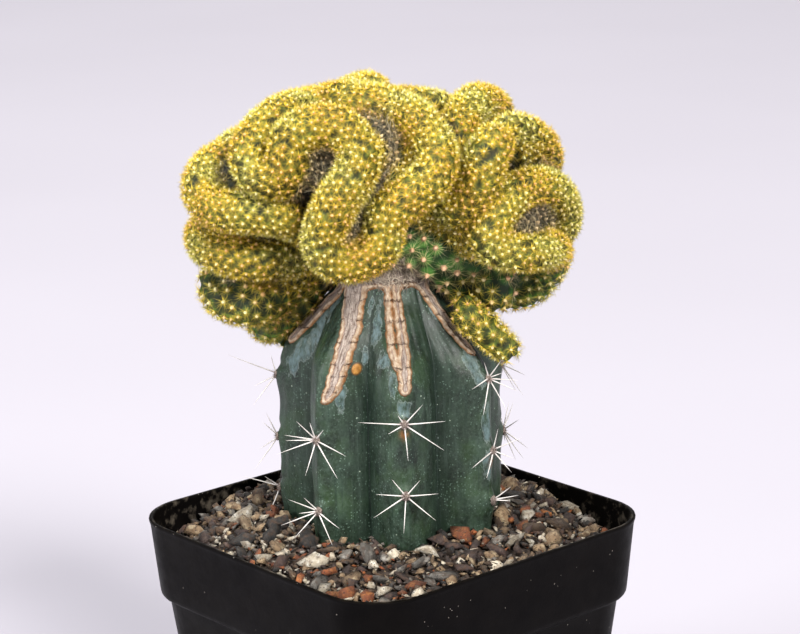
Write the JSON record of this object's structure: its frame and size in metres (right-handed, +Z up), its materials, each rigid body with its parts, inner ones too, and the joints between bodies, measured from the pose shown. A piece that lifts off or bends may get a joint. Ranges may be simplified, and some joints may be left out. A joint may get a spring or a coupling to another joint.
{
  "type": "brain cactus",
  "caption": "Crested brain cactus grafted on a ribbed green stock, rooted in gritty mix under gravel in a square black nursery pot.",
  "frame": {"origin": "middle of the pot's base, on the surface that the pot stands on", "axes": "+Z up; +X and +Y along the pot's square sides"},
  "size_m": [0.09, 0.09, 0.1912],
  "materials": {
    "pot_plastic": "satin black moulded plastic with fine dust",
    "potting_mix": "dark gritty potting mix",
    "gravel_stones": "mixed dry grit, charcoal, tan, rust, grey and cream chips",
    "crest_skin": "green skin under yellow tubercles and fine golden spines",
    "stock_skin": "waxy blue-green skin with cork strips and pale spines"
  },
  "bodies": {
    "root": {"pot": "pot_plastic", "soil": "potting_mix", "gravel": "gravel_stones", "rootstock": "stock_skin", "crest": "crest_skin"}
  },
  "joints": []
}
